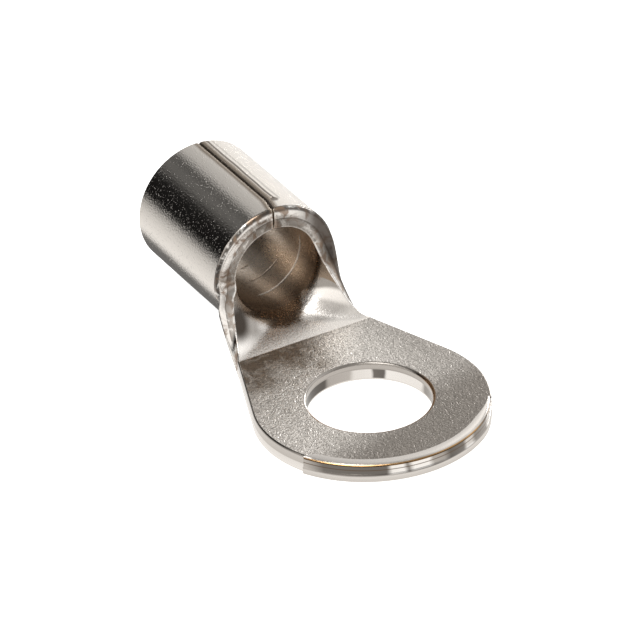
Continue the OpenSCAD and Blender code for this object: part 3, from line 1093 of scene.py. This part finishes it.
@dataclass
class TerminalBody:
    """The terminal's skin, laid out on the flat blank and rolled to shape."""

    blank: Blank = field(default_factory=Blank)
    patches: list[bpy.types.Object] = field(default_factory=list)
    finishes: dict[Finish, bpy.types.Material] = field(default_factory=dict)
    # Points closer than this become one, in metres, and edges sharper than this stay sharp.
    merge: float = 0.003 * MM
    sharp_degrees: float = 35.0

    # Rows of the tongue, as shares of the way from the stud hole to the edge.
    TONGUE_ROWS = (0.0, 0.08, 0.25, 0.45, 0.65, 0.82, 0.93, 0.985, 1.0)

    def add_patch(self, name: str, rows: list[list[Place3]], flat: list[list[Place2]], finish: Finish) -> None:
        """Add a net of faces and shape it.

        Args:
            name: The patch's name.
            rows: Rows of points in millimetres.
            flat: The same points on the flat blank, kept as the patch's UV map.
            finish: Its material.
        """
        deselect_all()
        bpy.ops.mesh.primitive_grid_add(x_subdivisions=len(rows[0]) - 1, y_subdivisions=len(rows) - 1, size=MM)
        patch = bpy.context.object
        patch.name = name
        places = [value * MM for row in rows for point in row for value in point]
        patch.data.vertices.foreach_set("co", places)
        spots = [spot for row in flat for spot in row]
        corners = [value for loop in patch.data.loops for value in spots[loop.vertex_index]]
        patch.data.uv_layers.active.data.foreach_set("uv", corners)
        patch.data.materials.append(self.finishes[finish])
        patch.data.update()
        self.patches.append(patch)

    def add_sheet(self, name: str, rows: list[list[Place2]], inner: bool, finish: Finish) -> None:
        """Roll a field of the blank and add it.

        Args:
            name: The patch's name.
            rows: Rows of places on the blank.
            inner: Whether it is the inner face.
            finish: Its material.
        """
        blank = self.blank
        rolled = [[blank.place(x, s, blank.thickness(x) if inner else 0.0) for x, s in row] for row in rows]
        self.add_patch(name, rolled, [[(s, x) for x, s in row] for row in rows], finish)

    def build_barrel(self, inner: bool) -> None:
        """Lay out one face of the barrel.

        Args:
            inner: Whether it is the inner face.
        """
        (front_l, seam_l, rear_l), (front_r, seam_r, rear_r) = (
            [[point.border(inner) for point in part] for part in self.blank.barrel_edge(cheek)]
            for cheek in (self.blank.left, self.blank.right))
        front = front_l[:0:-1] + self.cross_row(front_l[0], front_r[0]) + front_r[1:]
        rear = rear_l[:-1] + rear_r[::-1]
        left = [front_l[-1]] + seam_l + [rear_l[0]]
        right = [front_r[-1]] + seam_r + [rear_r[0]]
        name, finish = ("barrel_inner", Finish.BORE) if inner else ("barrel_outer", Finish.BARREL)
        self.add_sheet(name, coons(front, rear, left, right), inner, finish)

    def cross_row(self, left: Place2, right: Place2) -> list[Place2]:
        """Row of places straight across the cradle.

        Args:
            left: The left end.
            right: The right end.

        Returns:
            The places from left to right, with one on the middle line.
        """
        count, middle = self.blank.low_columns, (left[0] + right[0]) / 2
        first = zip(spread(left[0], middle, count), spread(left[1], 0.0, count))
        second = zip(spread(middle, right[0], count), spread(0.0, right[1], count))
        return list(first)[:-1] + list(second)

    def cradle_rows(self, inner: bool) -> list[list[Place2]]:
        """Rows of the cradle, from the barrel to the crease.

        Args:
            inner: Whether they are those of the inner face.

        Returns:
            The rows of places on the blank.
        """
        left, right = ([point.border(inner) for point in self.blank.lip_edge(cheek)]
                       for cheek in (self.blank.left, self.blank.right))
        rows = [self.cross_row(a, b) for a, b in zip(left, right)]
        rows[-1] = [(self.blank.neck_x, s) for _, s in rows[-1]]
        return rows

    def build_cradle(self, inner: bool) -> None:
        """Lay out the inner or the outer face of the cradle."""
        name, finish = ("cradle_inner", Finish.CRADLE) if inner else ("cradle_outer", Finish.BARREL)
        self.add_sheet(name, self.cradle_rows(inner), inner, finish)

    def build_tongue(self, inner: bool) -> None:
        """Lay out one face of the tongue, from the stud hole to the edge.

        Args:
            inner: Whether it is the inner face, which is the upper one.
        """
        blank = self.blank
        loop, angles = self.tongue_loop(inner)
        start = blank.stud_r + (blank.rim_w if inner else blank.stud_round)
        depth = blank.tongue_t if inner else 0.0
        rows = [[blank.place(mix(start * math.cos(a), x, share), mix(start * math.sin(a), s, share), depth)
                 for (x, s), a in zip(loop, angles)] for share in self.TONGUE_ROWS]
        self.add_patch("tongue_upper" if inner else "tongue_under", rows,
                       [[(y, x) for x, y, _ in row] for row in rows], Finish.TONGUE)

    def tongue_loop(self, inner: bool) -> tuple[list[Place2], list[float]]:
        """Closed border of the tongue and the directions to it from the stud.

        Args:
            inner: Whether it is the upper face.

        Returns:
            The places, and an angle for each.
        """
        right = self.blank.tongue_edge(self.blank.right)[:-1]
        left = self.blank.tongue_edge(self.blank.left)[-2::-1]
        border = ([point.border(inner) for point in right] + self.cradle_rows(inner)[-1][::-1]
                  + [point.border(inner) for point in left])
        ends = ([(point.x, point.s) for point in right] + self.cradle_rows(False)[-1][::-1]
                + [(point.x, point.s) for point in left])
        return border, [math.atan2(s, x) for x, s in ends]

    def build_stud_hole(self) -> None:
        """Lay out the wall of the stud hole."""
        blank = self.blank
        _, angles = self.tongue_loop(True)
        rim = EdgePoint(0.0, 0.0, 1.0, 0.0, blank.stud_round, 0.0, blank.rim_w, blank.rim_d).profile(blank.tongue_t)
        rows = [[((blank.stud_r + inset) * math.cos(a), (blank.stud_r + inset) * math.sin(a), depth)
                 for a in angles] for inset, depth in rim]
        flat = [[((a % math.tau) / math.tau, depth) for a in angles] for _, depth in rim]
        self.add_patch("stud_wall", rows, flat, Finish.STUD)

    def build_edges(self) -> None:
        """Lay out the strip's edge all the way round, a patch for each stretch of one finish."""
        blank = self.blank
        chains = []
        for cheek in (blank.right, blank.left):
            front, seam, rear = blank.barrel_edge(cheek)
            chains.append(blank.tongue_edge(cheek)[:-1] + blank.lip_edge(cheek)[::-1] + front[1:] + seam + rear)
        whole = chains[0] + chains[1][-2::-1]
        kinds = [self.edge_finish(point) for point in whole]
        start = 0
        for i in range(1, len(whole)):
            if i == len(whole) - 1 or kinds[i] is not kinds[i - 1]:
                self.add_edge(whole[start:i + 1], kinds[start])
                start = i

    def edge_finish(self, point: EdgePoint) -> Finish:
        """Choose the finish of the edge.

        Args:
            point: A point of the outline.

        Returns:
            The finish from there on.
        """
        if point.form is EdgeForm.CUT_OFF:
            return Finish.CUT
        if point.x > self.blank.neck_x - 0.01:
            return Finish.SIDE
        return Finish.LIP if point.x > self.blank.front_x - 0.02 else Finish.BARREL

    def add_edge(self, points: list[EdgePoint], finish: Finish) -> None:
        """Lay out a stretch of the strip's edge.

        Args:
            points: The outline's points.
            finish: The edge's finish.
        """
        blank = self.blank
        columns, flat, run = [], [], 0.0
        first, span = math.radians(blank.cut_left), math.radians(blank.cut_left + blank.cut_right)
        for i, point in enumerate(points):
            thickness = blank.thickness(point.x)
            if i:
                run += math.hypot(point.x - points[i - 1].x, point.s - points[i - 1].s)
            section = point.profile(thickness)
            columns.append([blank.place(*point.inset(inset), depth) for inset, depth in section])
            along = (math.atan2(point.s, point.x) + first) / span if finish is Finish.CUT else run
            flat.append([(along, depth / thickness) for _, depth in section])
        self.add_patch("strip_edge", [list(row) for row in zip(*columns)], [list(row) for row in zip(*flat)], finish)

    def build(self) -> bpy.types.Object:
        """Model and dress the skin.

        Returns:
            The finished piece.
        """
        self.finishes = {finish: finish.value.build() for finish in Finish}
        for inner in (False, True):
            self.build_barrel(inner)
            self.build_cradle(inner)
            self.build_tongue(inner)
        self.build_stud_hole()
        self.build_edges()
        deselect_all()
        for patch in self.patches:
            patch.select_set(True)
        piece = self.patches[0]
        bpy.context.view_layer.objects.active = piece
        bpy.ops.object.join()
        piece.name = piece.data.name = "plated_strip"
        bpy.ops.object.mode_set(mode="EDIT")
        bpy.ops.mesh.select_all(action="SELECT")
        bpy.ops.mesh.remove_doubles(threshold=self.merge)
        bpy.ops.mesh.normals_make_consistent(inside=False)
        bpy.ops.object.mode_set(mode="OBJECT")
        bpy.ops.object.shade_smooth_by_angle(angle=math.radians(self.sharp_degrees))
        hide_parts(NODE)
        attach(piece, "root")
        return piece


# --------------------------------------------------------------------------- studio


@dataclass
class Studio:
    """White table, soft lamps and the camera. Sizes are in metres."""

    # Camera: where it looks from, in degrees, and at what.
    azimuth: float = -29.4657
    elevation: float = 32.1094
    roll: float = -2.1338
    distance: float = 0.32795
    aim: Place3 = (-0.0033758, -0.0007733, 0.0040776)
    lens: float = 366.113
    # Table, with what it adds to its own light for the camera.
    floor_r: float = 0.6
    floor_z: float = -0.00002
    paper: Colour = (0.9, 0.9, 0.9, 1.0)
    paper_glow: float = 0.8
    # Table as the metal mirrors it: brightest near, darker away on the left, with a painted shadow under the barrel.
    mirror: Colour = (1.0, 0.975, 0.945, 1.0)
    near_level: float = 1.0
    fall_from: float = -0.006
    fall_y: float = 0.022
    under_level: float = 0.17
    under_y: Span = (0.0043, 0.0051)
    under_x: Span = (-0.0100, -0.0080)
    # Room as the metal mirrors it: levels from left to right, for the walls and for the front.
    tilt: float = 0.3
    room_strength: float = 1.3
    front_x: Span = (-0.55, -0.10)
    front_levels: Stops = ((-0.7, 0.85), (-0.25, 0.80), (0.2, 0.45), (0.6, 0.36), (1.0, 0.36))
    room_levels: Stops = (
        (-0.74, 0.004), (-0.34, 0.010), (-0.18, 0.10), (0.02, 0.11), (0.09, 0.06), (0.17, 0.07), (0.25, 0.30),
        (0.33, 0.42), (0.45, 0.42), (0.576, 0.56), (0.65, 0.66), (0.70, 0.90), (0.78, 0.90), (0.90, 0.40),
        (1.0, 0.34))
    # Lamps: name, centre, side and power in watts.
    lamps: tuple[tuple[str, Place3, float, float], ...] = (
        ("key_lamp", (-0.30, 0.50, 0.12), 0.2, 1.2), ("top_lamp", (0.05, -0.15, 0.6), 0.3, 1.2))

    def build_floor(self) -> None:
        """Lay the white table."""
        deselect_all()
        bpy.ops.mesh.primitive_circle_add(vertices=96, radius=self.floor_r, fill_type="NGON",
                                          location=(0.0, 0.0, self.floor_z))
        floor = bpy.context.object
        floor.name = "table"
        floor.data.transform(Matrix.Translation(floor.location))
        floor.location = (0.0, 0.0, 0.0)
        floor.data.materials.append(self.floor_material())

    def floor_material(self) -> bpy.types.Material:
        """Make the table's material. In the metal it is bright, with a painted shadow under the barrel.

        Returns:
            The material.
        """
        material = bpy.data.materials.new("table_white")
        material.use_nodes = True
        net = NodeTree(material.node_tree)
        out = net.node("ShaderNodeOutputMaterial")
        paper = net.node("ShaderNodeBsdfDiffuse")
        paper.inputs[0].default_value = self.paper
        path = net.node("ShaderNodeLightPath").outputs
        glow = net.node("ShaderNodeEmission")
        net.link(net.product(path["Is Camera Ray"], self.paper_glow), glow.inputs[1])
        both = net.node("ShaderNodeAddShader")
        net.link(paper.outputs[0], both.inputs[0])
        net.link(glow.outputs[0], both.inputs[1])
        place = net.axes(net.node("ShaderNodeTexCoord").outputs["Object"])
        # Painted shadow under the barrel, seen only in the metal.
        under = net.product(net.line(place["Y"], 0.0, *self.under_y), net.ramp(place["X"], *self.under_x, 1.0, 0.0))
        level = net.scaled(under, self.under_level - self.near_level, self.near_level)
        away = net.scaled(place["Y"], -1.0 / self.fall_y, self.fall_from / self.fall_y)
        fall = net.math("DIVIDE", 1.0, net.math("ADD", net.math("MAXIMUM", away, 0.0), 1.0))
        mirrored = net.node("ShaderNodeEmission")
        mirrored.inputs[0].default_value = self.mirror
        net.link(net.product(level, fall), mirrored.inputs[1])
        net.link(net.either(path["Is Glossy Ray"], both, mirrored), out.inputs[0])
        return material

    def build_world(self) -> None:
        """Light the room: white to the eye, and a shaded room in the metal."""
        world = bpy.data.worlds.new("studio")
        bpy.context.scene.world = world
        world.use_nodes = True
        net = NodeTree(world.node_tree)
        out = net.node("ShaderNodeOutputWorld")
        room = net.node("ShaderNodeBackground")
        white = net.node("ShaderNodeBackground")
        white.inputs[0].default_value = (1.0, 1.0, 1.0, 1.0)
        way = net.axes(net.node("ShaderNodeTexCoord").outputs["Generated"])
        side = net.scaled(net.scaled(way["Z"], self.tilt, way["Y"]), 0.5, 0.5)
        walls, panel = (net.stops(side, tuple((0.5 + 0.5 * place, level) for place, level in levels))
                        for levels in (self.room_levels, self.front_levels))
        net.link(net.mix(net.ramp(way["X"], *self.front_x), walls, panel), room.inputs[0])
        room.inputs[1].default_value = self.room_strength
        seen = net.node("ShaderNodeLightPath").outputs["Is Camera Ray"]
        net.link(net.either(seen, room, white), out.inputs[0])

    def build_lamp(self, name: str, place: Place3, size: float, power: float) -> None:
        """Add a soft square lamp that faces the part.

        Args:
            name: The lamp's name.
            place: Its centre.
            size: Length of its side.
            power: Its power in watts.
        """
        data = bpy.data.lights.new(name, "AREA")
        data.size = size
        data.energy = power
        lamp = bpy.data.objects.new(name, data)
        bpy.context.scene.collection.objects.link(lamp)
        lamp.location = place
        lamp.rotation_euler = Vector(place).to_track_quat("Z", "Y").to_euler()

    def build_camera(self) -> None:
        """Stand the camera where it looks down along the part."""
        data = bpy.data.cameras.new("camera")
        data.lens = self.lens
        data.sensor_width = 36.0
        data.clip_start = 0.01
        data.clip_end = 10.0
        camera = bpy.data.objects.new("camera", data)
        bpy.context.scene.collection.objects.link(camera)
        az, el, roll = (math.radians(v) for v in (self.azimuth, self.elevation, self.roll))
        back = Vector((math.cos(az) * math.cos(el), math.sin(az) * math.cos(el), math.sin(el)))
        level = Vector((-math.sin(az), math.cos(az), 0.0))
        up = back.cross(level)
        right = math.cos(roll) * level + math.sin(roll) * up
        above = math.cos(roll) * up - math.sin(roll) * level
        camera.matrix_world = Matrix.Translation(Vector(self.aim) + back * self.distance) @ Matrix(
            (right, above, back)).transposed().to_4x4()
        bpy.context.scene.camera = camera

    def build(self) -> None:
        """Set up the whole studio."""
        self.build_floor()
        self.build_world()
        for lamp in self.lamps:
            self.build_lamp(*lamp)
        self.build_camera()
        bpy.context.scene.view_settings.view_transform = "Standard"


def main() -> None:
    """Build the part and its studio."""
    logging.basicConfig(level=logging.INFO, format="%(name)s: %(message)s")
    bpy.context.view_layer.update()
    body = TerminalBody().build()
    LOG.info("%s: %d faces", body.name, len(body.data.polygons))
    Studio().build()
    LOG.info("studio ready")


if __name__ == "__main__":
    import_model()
    main()
